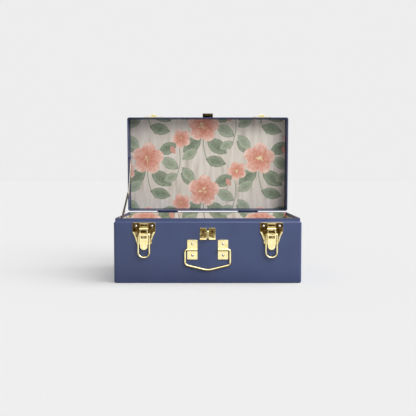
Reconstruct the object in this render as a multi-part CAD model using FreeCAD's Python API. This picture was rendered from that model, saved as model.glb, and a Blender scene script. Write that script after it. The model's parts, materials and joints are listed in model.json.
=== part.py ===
# A small storage trunk in painted sheet steel, with paper-covered lining boards and brass fittings.
# Lengths are millimetres and angles degrees. +X is the trunk's right seen from the front, +Y its
# back and +Z up. The origin is under the middle of the floor. Whatever the lid carries is drawn
# with the lid shut and then turned open about the hinge pins, which is how the trunk rests.
import FreeCAD
import Part
import os
from math import atan2, cos, degrees, hypot, radians, sin, sqrt

# Trunk
trunk_width = 330.0
trunk_depth = 192.0
shoulder_height = 109.0
shoulder_rise = 2.6
lip_height = 5.4
lip_inset = 2.4
sheet = 0.8
corner_radius = 4.0
bottom_bend = 1.8
bottom_flange = 12.0
floor_sheet = 0.8
floor_setback = 2.2

# Lid
lid_height = 40.0
lid_edge_radius = 1.6
hem_height = 5.0
hem_end_gap = 8.0
rim_gap = 0.3
open_angle = 88.0

# Gaps: beside a neighbour, round a pin or wire that turns, round a shank, and past a cut's end
fit_gap = 0.3
run_gap = 0.06
shank_gap = 0.05
overrun = 6.0

# Lining boards
board = 1.2
board_drop_front = 1.0
board_drop_side = 5.5

# Rivets and screws
rivet_head_radius = 2.2
rivet_head_rise = 1.2
rivet_shank_radius = 1.2
screw_head_radius = 2.3
screw_head_rise = 1.2
screw_slot_width = 0.7
screw_slot_depth = 0.6

# Hinges
hinge_from_end = 81.5
hinge_width = 42.0
hinge_knuckles = 5
hinge_knuckle_gap = 0.25
hinge_leaf = 1.2
hinge_leaf_length = 25.0
hinge_leaf_corner = 3.0
hinge_crank_length = 3.0
hinge_relief = 0.5
hinge_pin_radius = 1.8
hinge_pin_back = 4.5
hinge_pin_rise = 3.4
hinge_pin_head_rise = 0.6
hinge_rivet_spacing = 13.0

# Draw latches: plates on the base
latch_from_end = 53.3
latch_drop = 2.0
latch_plate = 1.0
latch_head_width = 40.4
latch_head_height = 16.2
latch_length = 38.6
latch_waist_width = 30.0
latch_tail_width = 26.4
latch_corner = 2.0
latch_edge = 0.6
latch_cheek_head = 4.2
latch_cheek_waist = 2.6
latch_cheek_tail = 1.5
latch_cheek_height = 3.6
latch_bevel_drop = 1.4
latch_bevel_share = 0.75
latch_ear_gap = 13.0
latch_ear = 0.8
latch_ear_radius = 2.1
latch_rivet_spacing = 28.0
latch_rivet_drop = 6.2
latch_pad_width = 15.0
latch_pad_drop = 1.6
latch_pad_height = 7.0
latch_pad_rise = 0.9
latch_pad_edge = 0.4
latch_pad_rim = 1.4
latch_pad_side_rim = 2.0

# Draw latches: pins, levers and wire loops
latch_pin_drop = 11.3
latch_pin_out = 3.7
latch_pin_radius = 1.0
latch_pin_head_radius = 1.6
latch_pin_head = 0.4
lever_reach = 9.4
lever_sheet = 0.9
lever_curl_sheet = 0.6
lever_width = 15.0
lever_neck_width = 12.6
lever_neck_length = 2.7
lever_tongue_width = 13.0
lever_shoulder_drop = 26.4
lever_length = 36.4
lever_lean = 0.2
lever_belly_out = 4.5
lever_tip_out = 4.1
lever_slot_width = 10.6
lever_lower_slot = 4.7
lever_slot_bridge = 0.2
loop_wire = 2.8
loop_width = 22.2
loop_length = 41.7
loop_corner = 2.3
loop_end_share = 0.9

# Keepers on the lid
keeper_width = 40.0
keeper_height = 20.0
keeper_rise = 3.5
keeper_plate = 1.2
keeper_corner = 2.0
keeper_hook_width = 10.6
keeper_hook_sheet = 1.1
keeper_lip_height = 3.4
keeper_seat_gap = 0.4

# Padlock staple on the base
staple_width = 27.3
staple_height = 21.3
staple_drop = 11.5
staple_plate = 1.2
staple_flange_width = 11.5
staple_edge = 0.4
staple_bead_radius = 1.5
staple_bead_rise = 0.9
staple_rivet_share = 0.3
staple_rivet_rise = 0.4
eye_width = 3.5
eye_height = 14.5
eye_drop = 15.2
eye_reach = 11.6
eye_hole_height = 8.5
eye_hole_width = 5.0
eye_corner = 2.4
eye_edge = 1.3

# Hasp on the lid
hasp_width = 21.0
hasp_plate = 1.2
hasp_plate_length = 22.0
hasp_pin_rise = 3.2
hasp_pin_out = 5.3
hasp_pin_radius = 1.5
hasp_barrel = 1.35
hasp_tongue_width = 10.6
hasp_knuckle_gap = 0.25
hasp_relief = 0.4
hasp_crank_length = 3.2
hasp_corner = 2.0
hasp_strap = 1.3
hasp_strap_width = 15.0
hasp_slot_gap = 0.9
hasp_web = 2.6
hasp_rivet_spacing = 12.0
hasp_rivet_share = 0.75

# Bail handle on the base
handle_height = 59.5
handle_wire = 3.3
handle_wire_gap = 0.35
handle_bore_gap = 0.1
bracket_centre = 26.9
bracket_width = 17.8
bracket_height = 34.6
bracket_sheet = 1.2
bracket_corner = 1.5
bracket_screw_spacing = 20.0
bail_width = 82.4
bail_side = 26.8
bail_length = 38.1
bail_corner = 4.0
bail_bend = 6.0
bail_tip_bend = 30.0
bail_end_inset = 2.0

# Jointed lid stay, inside at the left
stay_slack = 6.5
stay_lower_share = 0.53
stay_arm = 1.4
stay_arm_width = 9.0
stay_lug_place = 43.0
stay_lug_radius = 3.2
stay_lug_out = 4.6
stay_bracket = 1.2
stay_base_pivot_front = 59.6
stay_base_pivot_drop = 3.0
stay_lid_pivot_reach = 114.0
stay_lid_pivot_rise = 8.9
stay_stud_radius = 2.0
stay_boss_radius = 3.0
stay_head_radius = 3.6
stay_head = 0.9
stay_end_gap = 0.1
stay_base_plate_back = 5.0
stay_base_plate_down = 5.5
stay_base_rivet_reach = 9.0
stay_base_rivet_spacing = 8.0
stay_lid_plate_width = 20.0
stay_lid_plate_height = 12.0
stay_lid_rivet_spacing = 12.0
stay_lid_rivet_rise = 5.0
stay_rivet_head = 1.0

# Places worked out from the sizes above
half_width = trunk_width / 2
front = -trunk_depth / 2
back = trunk_depth / 2
rim = shoulder_height + rim_gap
lip_top = shoulder_height + lip_height
lip_inner = half_width - lip_inset - sheet
floor_top = floor_sheet + sheet
lid_top = rim + lid_height
hinge_centre = half_width - hinge_from_end
hinge_y = back + hinge_pin_back
hinge_z = shoulder_height + hinge_pin_rise
hinge_barrel_radius = hinge_pin_radius + run_gap + hinge_leaf
latch_centre = half_width - latch_from_end
latch_top = shoulder_height - latch_drop
latch_pin_z = latch_top - latch_pin_drop
loop_wire_radius = loop_wire / 2
loop_bar_z = latch_pin_z - lever_reach
loop_raised_z = loop_bar_z + loop_length - loop_wire_radius
loop_half = loop_width / 2 - loop_wire_radius
loop_end_bend = loop_end_share * loop_half
lever_knuckle_radius = latch_pin_radius + run_gap + lever_sheet
lever_curl_radius = loop_wire_radius + run_gap + lever_curl_sheet
eye_top = shoulder_height - eye_drop
eye_bottom = eye_top - eye_height
hasp_z = rim + hasp_pin_rise
hasp_barrel_radius = hasp_pin_radius + run_gap + hasp_barrel
handle_out = handle_wire / 2 + handle_wire_gap
handle_bore = handle_wire / 2 + handle_bore_gap
stay_base_y = front + stay_base_pivot_front
stay_base_z = shoulder_height - stay_base_pivot_drop
stay_shut_y = hinge_y - stay_lid_pivot_reach
stay_shut_z = rim + stay_lid_pivot_rise
stay_arc = hypot(stay_shut_y - hinge_y, stay_shut_z - hinge_z)
stay_open_turn = atan2(stay_shut_z - hinge_z, stay_shut_y - hinge_y) - radians(open_angle)
stay_open_y = hinge_y + stay_arc * cos(stay_open_turn)
stay_open_z = hinge_z + stay_arc * sin(stay_open_turn)
stay_length = hypot(stay_open_y - stay_base_y, stay_open_z - stay_base_z) + stay_slack
stay_lower_length = stay_lower_share * stay_length
stay_upper_length = stay_length - stay_lower_length
stay_lower_x = -lip_inner + stay_bracket + fit_gap
stay_upper_x = stay_lower_x + stay_arm + fit_gap


# Small makers of solids

def vec(x, y, z):
    return FreeCAD.Vector(x, y, z)


def block(x, y, z):
    """A box between limits along X, Y and Z."""
    return Part.makeBox(x[1] - x[0], y[1] - y[0], z[1] - z[0], vec(x[0], y[0], z[0]))


def bar_x(x, y, z, radius):
    """A round bar along X between two limits."""
    return Part.makeCylinder(radius, x[1] - x[0], vec(x[0], y, z), vec(1, 0, 0))


def around(middle, width):
    """The limits of a width about its middle."""
    return (middle - width / 2, middle + width / 2)


def off_front(near, far):
    """The Y limits between two distances out from the front face."""
    return (front - far, front - near)


def joined(solids):
    """One solid from several that touch or overlap."""
    return solids[0].multiFuse(solids[1:]).removeSplitter()


def outline(start, *steps):
    """A closed outline: each step is the end of a line, or a point on an arc and the arc's end."""
    edges = []
    here = start
    for step in steps + (start,):
        if len(step) == 2:
            through, end = step
            edges.append(Part.Arc(here, through, end).toShape())
        else:
            end = step
            edges.append(Part.LineSegment(here, end).toShape())
        here = end
    return Part.Face(Part.Wire(edges))


def profile_x(points, x):
    """A polygon of (y, z) points carried along X between two limits."""
    corners = [vec(x[0], y, z) for y, z in points]
    return Part.Face(Part.makePolygon(corners + corners[:1])).extrude(vec(x[1] - x[0], 0, 0))


def rounded_rectangle(half_x, half_y, radius, z):
    """A wire round a rectangle with round corners, at height z."""
    face = Part.makePlane(2 * half_x, 2 * half_y, vec(-half_x, -half_y, z))
    posts = face.extrude(vec(0, 0, half_x))
    upright = [e for e in posts.Edges if is_along(e, vec(0, 0, 1))]
    rounded = posts.makeFillet(radius, upright)
    lowest = [f for f in rounded.Faces if f.BoundBox.ZMax < z + radius]
    return lowest[0].OuterWire


def is_along(edge, direction):
    """True for a straight edge along a direction."""
    if not isinstance(edge.Curve, Part.Line):
        return False
    return abs(edge.tangentAt(edge.FirstParameter).dot(direction)) > cos(radians(1))


def tray(inset, z, radius_at_ends=()):
    """An upright prism inside the trunk's outline, with its edges rounded at the named ends."""
    wire = rounded_rectangle(half_width - inset, back - inset, corner_radius - inset, z[0])
    solid = Part.Face(wire).extrude(vec(0, 0, z[1] - z[0]))
    for end, radius in radius_at_ends:
        rim_edges = [e for e in solid.Edges if e.BoundBox.ZMin > end - shank_gap
                     and e.BoundBox.ZMax < end + shank_gap]
        solid = solid.makeFillet(radius, rim_edges)
    return solid


def rounded_corners(solid, direction, radius, keep=lambda edge: True):
    """The solid with its sharp edges along a direction rounded."""
    edges = [e for e in solid.Edges if is_along(e, direction) and keep(e)]
    return solid.makeFillet(radius, edges)


def rounded_path(points, radii, closed=False):
    """Lines and tangent arcs along a path whose corners are rounded, as edges in order."""
    count = len(points)
    inner = range(count) if closed else range(1, count - 1)
    arcs = {}
    for i in inner:
        corner = points[i]
        before = (points[i - 1] - corner).normalize()
        after = (points[(i + 1) % count] - corner).normalize()
        half_turn = before.getAngle(after) / 2
        reach = radii[i] * cos(half_turn) / sin(half_turn)
        middle = (before + after).normalize()
        arcs[i] = (corner + before * reach,
                   corner + middle * (radii[i] / sin(half_turn) - radii[i]),
                   corner + after * reach)
    edges = []
    spans = range(count) if closed else range(count - 1)
    for i in spans:
        j = (i + 1) % count
        start = arcs[i][2] if i in arcs else points[i]
        end = arcs[j][0] if j in arcs else points[j]
        edges.append(Part.LineSegment(start, end).toShape())
        if j in arcs:
            edges.append(Part.Arc(*arcs[j]).toShape())
    return edges


def wire_solid(edges, radius):
    """A round wire along lines and arcs."""
    lengths = []
    for edge in edges:
        start = edge.valueAt(edge.FirstParameter)
        along = edge.tangentAt(edge.FirstParameter)
        ring = Part.Wire(Part.makeCircle(radius, start, along))
        lengths.append(Part.Wire(edge).makePipeShell([ring], True, False))
    return joined(lengths)


def dome(base, direction, radius, rise):
    """A shallow round cap on a flat seat."""
    sphere = (radius ** 2 + rise ** 2) / (2 * rise)
    centre = base - direction * (sphere - rise)
    low = degrees(atan2(sphere - rise, radius))
    return Part.makeSphere(sphere, centre, direction, low, 90, 360)


def rivet(seat, direction, grip, head_radius=rivet_head_radius, head_rise=rivet_head_rise):
    """A dome-headed rivet on a seat, its shank going in by the thickness that it grips."""
    shank = Part.makeCylinder(rivet_shank_radius, grip, seat, direction * -1)
    return joined([dome(seat, direction, head_radius, head_rise), shank])


def drilled(solid, seats, direction, grip):
    """The solid with a hole for the shank of each rivet."""
    for seat in seats:
        start = seat + direction * overrun
        hole = Part.makeCylinder(rivet_shank_radius + shank_gap, grip + 2 * overrun, start, direction * -1)
        solid = solid.cut(hole)
    return solid


def opened(solid):
    """A copy of a lid piece, turned from shut to open about the hinge pins."""
    turned = solid.copy()
    turned.rotate(vec(0, hinge_y, hinge_z), vec(1, 0, 0), -open_angle)
    return turned


def cranked_leaf(x, wall, away, pin, along, sizes):
    """A strip that lies flat on a wall, cranks away from it and meets the barrel round a pin.

    wall is the Y of the wall, away and along are +1 or -1 for the sides that the pin and the strip
    are on, pin is the pin's distance off the wall and its height, and sizes are the barrel's
    radius, the strip's thickness, where its crank starts, the crank's length and the strip's end.
    """
    barrel, thick, crank_start, crank, length = sizes
    off, height = pin
    step = off - barrel
    near = [(0, length), (0, crank_start + crank), (step, crank_start), (step, 0)]
    far = [(out + thick, run) for out, run in reversed(near)]
    points = [(wall + away * out, height + along * run) for out, run in near + far]
    return profile_x(points, x)


def equal_spans(limits, count):
    """Equal spans between two limits."""
    step = (limits[1] - limits[0]) / count
    return [(limits[0] + i * step, limits[0] + (i + 1) * step) for i in range(count)]


# Where rivets and screws seat, for the pieces that they pass through

def front_seats(xs, z, out):
    return [vec(x, front - out, z) for x in xs]


def latch_rivet_seats(centre):
    xs = around(centre, latch_rivet_spacing)
    return front_seats(xs, latch_top - latch_rivet_drop, latch_plate)


def staple_rivet_seats():
    xs = around(0, staple_width - staple_flange_width)
    z = shoulder_height - staple_drop - staple_rivet_share * staple_height
    return front_seats(xs, z, staple_plate)


def screw_seats(centre):
    return [vec(centre, front - bracket_sheet, z) for z in around(handle_height, bracket_screw_spacing)]


def keeper_rivet_seats(centre):
    xs = around(centre, latch_rivet_spacing)
    return front_seats(xs, rim + keeper_rise + keeper_height / 2, keeper_plate)


def hasp_rivet_seats():
    xs = around(0, hasp_rivet_spacing)
    return front_seats(xs, hasp_z + hasp_rivet_share * hasp_plate_length, hasp_plate)


def hinge_rivet_seats(centre, along):
    middle = (hinge_leaf_length + hinge_barrel_radius + hinge_relief + hinge_crank_length) / 2
    xs = (centre - hinge_rivet_spacing, centre, centre + hinge_rivet_spacing)
    return [vec(x, back + hinge_leaf, hinge_z + along * middle) for x in xs]


def stay_base_rivet_seats():
    z = shoulder_height + lip_height / 2
    reaches = (stay_base_rivet_reach, stay_base_rivet_reach + stay_base_rivet_spacing)
    return [vec(-lip_inner + stay_bracket, stay_base_y - reach, z) for reach in reaches]


def stay_lid_rivet_seats():
    ys = around(stay_shut_y, stay_lid_rivet_spacing)
    return [vec(-half_width, y, stay_shut_z + stay_lid_rivet_rise) for y in ys]


left_right = (("left", -1), ("right", 1))
outwards = vec(0, -1, 0)
backwards = vec(0, 1, 0)
leftwards = vec(-1, 0, 0)
inwards = vec(1, 0, 0)


# Base: wrapper, floor and lining boards

def base_walls():
    """Walls with a sloped shoulder, an inset lip and a turned-in bottom flange."""
    slope_bottom = shoulder_height - shoulder_rise
    slope_length = hypot(shoulder_rise, lip_inset)
    inner_shift = sheet * (slope_length - shoulder_rise) / lip_inset

    def envelope(inset, bottom, bend, drop, top):
        wall = tray(inset, (bottom, slope_bottom - drop), ((bottom, bend),))
        levels = ((inset, slope_bottom - drop), (inset + lip_inset, shoulder_height - drop))
        rings = [rounded_rectangle(half_width - i, back - i, corner_radius - i, z) for i, z in levels]
        slope = Part.makeLoft(rings, True, True)
        lip = tray(inset + lip_inset, (shoulder_height - drop, top))
        return joined([wall, slope, lip])

    outer = envelope(0, floor_sheet, bottom_bend, 0, lip_top)
    inner = envelope(sheet, floor_top, bottom_bend - sheet, inner_shift, lip_top + overrun)
    opening_x = half_width - bottom_flange
    opening_y = back - bottom_flange
    opening = block((-opening_x, opening_x), (-opening_y, opening_y), (-overrun, floor_top + overrun))
    walls = outer.cut(inner).cut(opening)
    for sign in (-1, 1):
        walls = drilled(walls, latch_rivet_seats(sign * latch_centre), outwards, latch_plate)
        walls = drilled(walls, screw_seats(sign * bracket_centre), outwards, bracket_sheet)
        walls = drilled(walls, hinge_rivet_seats(sign * hinge_centre, -1), backwards, hinge_leaf)
    walls = drilled(walls, staple_rivet_seats(), outwards, staple_plate)
    return drilled(walls, stay_base_rivet_seats(), inwards, stay_bracket)


def base_floor():
    """The plate under the flange, which the trunk stands on."""
    return tray(floor_setback, (0, floor_sheet))


def liner_floor():
    return tray(bottom_bend + fit_gap, (floor_top, floor_top + board))


def liner_end(sign):
    """The board on the front or back wall, against the lip."""
    face = sign * (back - lip_inset - sheet)
    reach = lip_inner - (corner_radius - lip_inset - sheet)
    y = sorted((face, face - sign * board))
    return block((-reach, reach), y, (floor_top + board, lip_top - board_drop_front))


def liner_side(sign):
    """The board on a side wall, between the front and back boards."""
    reach = back - lip_inset - sheet - board - fit_gap
    x = sorted((sign * lip_inner, sign * (lip_inner - board)))
    side = block(x, (-reach, reach), (floor_top + board, lip_top - board_drop_side))
    if sign < 0:
        y, z = stay_base_plate_limits()
        room = block(x, (y[0] - fit_gap, y[1] + fit_gap), (z[0] - fit_gap, z[1] + fit_gap))
        side = side.cut(room)
    return side


# Lid: shell and lining board

def lid_shell():
    """Top and walls, with the rim hemmed inwards at the front and sides."""
    outer = tray(0, (rim, lid_top), ((lid_top, lid_edge_radius),))
    inner_top = lid_top - sheet
    inner = tray(sheet, (rim - overrun, inner_top), ((inner_top, lid_edge_radius - sheet),))
    hem = tray(sheet, (rim, rim + hem_height)).cut(tray(2 * sheet, (rim - overrun, lid_top)))
    hem = hem.cut(block((-half_width, half_width), (back - hem_end_gap, back), (rim - overrun, lid_top)))
    shell = joined([outer.cut(inner), hem])
    for sign in (-1, 1):
        shell = drilled(shell, keeper_rivet_seats(sign * latch_centre), outwards, keeper_plate)
        shell = drilled(shell, hinge_rivet_seats(sign * hinge_centre, 1), backwards, hinge_leaf)
    shell = drilled(shell, hasp_rivet_seats(), outwards, hasp_plate)
    return drilled(shell, stay_lid_rivet_seats(), leftwards, sheet)


def liner_lid():
    return tray(lid_edge_radius, (lid_top - sheet - board, lid_top - sheet))


# Hinges

def hinge_leaf_solid(centre, along, first):
    """One leaf: a cranked strip with every second knuckle, counted from the first."""
    x = around(centre, hinge_width)
    crank_start = hinge_barrel_radius + hinge_relief
    sizes = (hinge_barrel_radius, hinge_leaf, crank_start, hinge_crank_length, hinge_leaf_length)
    leaf = cranked_leaf(x, back, 1, (hinge_pin_back, hinge_z), along, sizes)
    end = hinge_z + along * hinge_leaf_length
    leaf = rounded_corners(leaf, backwards, hinge_leaf_corner,
                           lambda e: abs(e.CenterOfMass.z - end) < hinge_leaf)
    pieces = [leaf]
    room = (hinge_z - crank_start, hinge_z + crank_start)
    for i, span in enumerate(equal_spans(x, hinge_knuckles)):
        if i % 2 == first:
            knuckle = (span[0] + hinge_knuckle_gap / 2, span[1] - hinge_knuckle_gap / 2)
            pieces.append(bar_x(knuckle, hinge_y, hinge_z, hinge_barrel_radius))
        else:
            gap = (span[0] - hinge_knuckle_gap / 2, span[1] + hinge_knuckle_gap / 2)
            pieces[0] = pieces[0].cut(block(gap, (back, hinge_y + overrun), room))
    for edge, inner in ((x[0], 1), (x[1], -1)):
        trim = sorted((edge, edge + inner * hinge_knuckle_gap / 2))
        pieces[0] = pieces[0].cut(block(trim, (back, hinge_y + overrun), room))
    bore = bar_x((x[0] - overrun, x[1] + overrun), hinge_y, hinge_z, hinge_pin_radius + run_gap)
    leaf = joined(pieces).cut(bore)
    return drilled(leaf, hinge_rivet_seats(centre, along), backwards, hinge_leaf)


def hinge_pin(centre):
    x = around(centre, hinge_width)
    ends = [dome(vec(at, hinge_y, hinge_z), vec(way, 0, 0), hinge_barrel_radius, hinge_pin_head_rise)
            for at, way in ((x[0], -1), (x[1], 1))]
    return joined([bar_x(x, hinge_y, hinge_z, hinge_pin_radius)] + ends)


# Draw latches

def latch_face(centre, out, cheek_share=0):
    """The plate's front outline, a square head over a hollow-sided tail, less a share of its cheeks."""
    head = latch_head_width / 2 - cheek_share * latch_cheek_head
    waist = latch_waist_width / 2 - cheek_share * latch_cheek_waist
    tail = latch_tail_width / 2 - cheek_share * latch_cheek_tail
    head_z = latch_top - latch_head_height
    tail_z = latch_top - latch_length
    waist_z = (head_z + tail_z) / 2

    def at(x, z):
        return vec(centre + x, front - out, z)

    return outline(at(-head, latch_top), at(head, latch_top), at(head, head_z),
                   (at(waist, waist_z), at(tail, tail_z)), at(-tail, tail_z),
                   (at(-waist, waist_z), at(-head, head_z)))


def latch_cheeks(centre):
    """The turned-up sides of the plate's tail, with their outer edges bevelled."""
    bevel_start = latch_cheek_height - latch_bevel_drop
    upright = latch_face(centre, 0).extrude(bevel_start * outwards)
    low_outline = latch_face(centre, bevel_start).OuterWire
    high_outline = latch_face(centre, latch_cheek_height, latch_bevel_share).OuterWire
    bevel = Part.makeLoft([low_outline, high_outline], True, True)
    inside = latch_face(centre, 0, 1).extrude(latch_cheek_height * outwards)
    below_head = block(around(centre, latch_head_width), off_front(0, latch_cheek_height),
                       (latch_top - latch_length + latch_corner, latch_top - latch_head_height))
    return joined([upright, bevel]).cut(inside).common(below_head)


def latch_pad(centre):
    """The raised pad over the lever, sunk to the plate inside its rim."""
    top = latch_top - latch_pad_drop
    low = top - latch_pad_height
    out = latch_plate + latch_pad_rise
    pad = block(around(centre, latch_pad_width), off_front(0, out), (low, top))
    sunk = block(around(centre, latch_pad_width - 2 * latch_pad_side_rim), off_front(latch_plate, out),
                 (low + latch_pad_rim, top - latch_pad_rim))
    pad = pad.cut(sunk)
    face_edges = [e for e in pad.Edges if e.BoundBox.YMax < front - out + shank_gap]
    return pad.makeFillet(latch_pad_edge, face_edges)


def latch_plate_solid(centre):
    """The riveted plate with its pad, its two cheeks and the ears that hold the lever's pin."""
    plate = latch_face(centre, 0).extrude(latch_plate * outwards)
    plate = rounded_corners(plate, outwards, latch_corner)
    face_edges = [e for e in plate.Edges if e.BoundBox.YMax < front - latch_plate + shank_gap]
    plate = plate.makeFillet(latch_edge, face_edges)
    pieces = [plate, latch_pad(centre), latch_cheeks(centre)]
    for sign in (-1, 1):
        inside = centre + sign * latch_ear_gap / 2
        x = sorted((inside, inside + sign * latch_ear))
        pieces.append(block(x, off_front(0, latch_pin_out), around(latch_pin_z, 2 * latch_ear_radius)))
        pieces.append(bar_x(x, front - latch_pin_out, latch_pin_z, latch_ear_radius))
    bore = bar_x(around(centre, latch_head_width), front - latch_pin_out, latch_pin_z,
                 latch_pin_radius + run_gap)
    plate = joined(pieces).cut(bore)
    return drilled(plate, latch_rivet_seats(centre), outwards, latch_plate)


def latch_pin(centre):
    """The lever's pin, headed outside the ears."""
    ears = around(centre, latch_ear_gap + 2 * latch_ear + 2 * run_gap)
    y = front - latch_pin_out
    heads = [bar_x(sorted((at, at + way * latch_pin_head)), y, latch_pin_z, latch_pin_head_radius)
             for at, way in ((ears[0], -1), (ears[1], 1))]
    return joined([bar_x(ears, y, latch_pin_z, latch_pin_radius)] + heads)


def lever_shape(centre):
    """The lever's front outline: narrow between the ears, wide past the slots, round at the tip."""
    neck = lever_neck_width / 2
    wide = lever_width / 2
    tongue = lever_tongue_width / 2
    top = latch_pin_z + lever_knuckle_radius
    neck_z = latch_pin_z - lever_neck_length
    shoulder_z = latch_pin_z - lever_shoulder_drop
    tongue_z = shoulder_z - wide + tongue
    tip = latch_pin_z - lever_length
    y = front - latch_pin_out - overrun
    lean = sqrt(2) / 2

    def at(x, z):
        return vec(centre + x, y, z)

    right_arc = (at(tongue * lean, tip + tongue - tongue * lean), at(0, tip))
    left_arc = (at(-tongue * lean, tip + tongue - tongue * lean), at(-tongue, tip + tongue))
    face = outline(at(-neck, top), at(neck, top), at(neck, neck_z), at(wide, neck_z),
                   at(wide, shoulder_z), at(tongue, tongue_z), at(tongue, tip + tongue), right_arc,
                   left_arc, at(-tongue, tongue_z), at(-wide, shoulder_z), at(-wide, neck_z),
                   at(-neck, neck_z))
    return face.extrude(vec(0, latch_pin_out + 2 * overrun, 0))


def latch_lever(centre):
    """A strip with a knuckle on the pin, a curl round the loop's bar and a bowed tongue."""
    x = around(centre, lever_width)
    curl_out = latch_pin_out + lever_curl_radius
    knuckle_out = latch_pin_out + lever_knuckle_radius
    tip_z = latch_pin_z - lever_length
    belly_z = (loop_bar_z + tip_z) / 2

    def at(out, z):
        return vec(x[0], front - out, z)

    near = lever_sheet
    front_bow = (at(lever_belly_out, belly_z), at(lever_tip_out, tip_z))
    rear_bow = (at(lever_belly_out - near, belly_z), at(curl_out - near, loop_bar_z))
    strip = outline(at(knuckle_out + lever_lean, latch_pin_z), at(curl_out, loop_bar_z), front_bow,
                    at(lever_tip_out - near, tip_z), rear_bow, at(knuckle_out - near, latch_pin_z))
    strip = strip.extrude(vec(lever_width, 0, 0))
    y = front - latch_pin_out
    knuckle = bar_x(x, y, latch_pin_z, lever_knuckle_radius)
    curl = bar_x(x, y, loop_bar_z, lever_curl_radius)
    lever = joined([strip, knuckle, curl]).common(lever_shape(centre))
    long_x = (x[0] - overrun, x[1] + overrun)
    lever = lever.cut(bar_x(long_x, y, latch_pin_z, latch_pin_radius + run_gap))
    lever = lever.cut(bar_x(long_x, y, loop_bar_z, loop_wire_radius + run_gap))
    upper_top = latch_pin_z - lever_knuckle_radius - lever_slot_bridge
    upper_low = loop_bar_z + lever_curl_radius
    lower_top = loop_bar_z - lever_curl_radius - lever_slot_bridge
    for top, low in ((upper_top, upper_low), (lower_top, lower_top - lever_lower_slot)):
        slot = block(around(centre, lever_slot_width), off_front(0, curl_out + overrun), (low, top))
        lever = lever.cut(slot)
    return lever


def latch_loop(centre):
    """A closed wire loop whose top bar turns in the lever's curl."""
    end_z = loop_bar_z - loop_length + loop_wire_radius
    y = front - latch_pin_out
    places = ((-loop_half, loop_bar_z), (loop_half, loop_bar_z), (loop_half, end_z), (-loop_half, end_z))
    points = [vec(centre + x, y, z) for x, z in places]
    bends = (loop_corner, loop_corner, loop_end_bend, loop_end_bend)
    edges = rounded_path(points, bends, closed=True)
    return wire_solid(edges, loop_wire_radius)


def keeper(centre):
    """A plate on the lid with a hook whose round seat takes the end of the raised loop."""
    bottom = rim + keeper_rise
    plate = block(around(centre, keeper_width), off_front(0, keeper_plate),
                  (bottom, bottom + keeper_height))
    plate = rounded_corners(plate, outwards, keeper_corner)
    hook_x = around(centre, keeper_hook_width)
    seat_radius = loop_end_bend - loop_wire_radius - keeper_seat_gap
    seat_z = loop_raised_z - loop_end_bend
    seat_top = seat_z + seat_radius
    seat_low = seat_z + sqrt(seat_radius ** 2 - (keeper_hook_width / 2) ** 2)
    lip_near = latch_pin_out + loop_wire_radius + fit_gap
    lip_far = lip_near + keeper_hook_sheet
    round_seat = Part.makeCylinder(seat_radius, lip_far, vec(centre, front, seat_z), outwards)
    seat = block(hook_x, off_front(0, lip_far), (seat_low, seat_top)).common(round_seat)
    lip = block(hook_x, off_front(lip_near, lip_far), (seat_low, seat_top + keeper_lip_height))
    hook = joined([seat, lip])
    hook = rounded_corners(hook, inwards, keeper_hook_sheet / 2,
                           lambda e: e.CenterOfMass.y < front - lip_far + shank_gap)
    return drilled(joined([plate, hook]), keeper_rivet_seats(centre), outwards, keeper_plate)


# Padlock staple

def staple():
    """Two riveted flanges with beaded lower ends, and the eye that the hasp's slot passes over."""
    top = shoulder_height - staple_drop
    bottom = top - staple_height
    bridge = block(around(0, staple_width - staple_flange_width), off_front(0, staple_plate),
                   (eye_bottom + eye_corner, eye_top - eye_corner))
    pieces = [bridge]
    for sign in (-1, 1):
        inner = sign * (staple_width / 2 - staple_flange_width)
        x = sorted((inner, sign * staple_width / 2))
        flange = block(x, off_front(0, staple_plate), (bottom, top))
        face_edges = [e for e in flange.Edges if e.BoundBox.YMax < front - staple_plate + shank_gap]
        pieces.append(flange.makeFillet(staple_edge, face_edges))
        bead_out = staple_plate + staple_bead_rise - staple_bead_radius
        bead = bar_x(x, front - bead_out, bottom + staple_bead_radius, staple_bead_radius)
        pieces.append(bead.common(block(x, off_front(0, overrun), (bottom, top))))
    eye = block(around(0, eye_width), off_front(0, eye_reach), (eye_bottom, eye_top))
    eye = rounded_corners(eye, inwards, eye_corner,
                          lambda e: e.CenterOfMass.y < front - eye_reach + shank_gap)
    side_edges = [e for e in eye.Edges
                  if e.BoundBox.XLength < shank_gap and e.BoundBox.YMin < front - eye_corner]
    eye = eye.makeFillet(eye_edge, side_edges)
    hole_near = hasp_pin_out - hasp_barrel_radius + hasp_strap + fit_gap
    hole = block(around(0, eye_width + overrun), off_front(hole_near, hole_near + eye_hole_width),
                 around((eye_bottom + eye_top) / 2, eye_hole_height))
    hole = rounded_corners(hole, inwards, eye_corner / 2)
    return drilled(joined(pieces + [eye]).cut(hole), staple_rivet_seats(), outwards, staple_plate)


# Hasp

def hasp_plate_solid():
    """The hasp's plate on the lid, cranked out to two knuckles beside the rim."""
    x = around(0, hasp_width)
    crank_start = hasp_barrel_radius + hasp_relief
    sizes = (hasp_barrel_radius, hasp_plate, crank_start, hasp_crank_length, hasp_plate_length)
    plate = cranked_leaf(x, front, -1, (hasp_pin_out, hasp_z), 1, sizes)
    plate = rounded_corners(plate, outwards, hasp_corner,
                            lambda e: e.CenterOfMass.z > hasp_z + hasp_plate_length - hasp_plate)
    gap = around(0, hasp_tongue_width + hasp_knuckle_gap)
    plate = plate.cut(block(gap, off_front(0, hasp_pin_out + overrun),
                            (hasp_z - crank_start, hasp_z + crank_start)))
    y = front - hasp_pin_out
    knuckles = [bar_x((x[0], gap[0]), y, hasp_z, hasp_barrel_radius),
                bar_x((gap[1], x[1]), y, hasp_z, hasp_barrel_radius)]
    bore = bar_x((x[0] - overrun, x[1] + overrun), y, hasp_z, hasp_pin_radius + run_gap)
    return drilled(joined([plate] + knuckles).cut(bore), hasp_rivet_seats(), outwards, hasp_plate)


def hasp_pin():
    return bar_x(around(0, hasp_width), front - hasp_pin_out, hasp_z, hasp_pin_radius)


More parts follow.
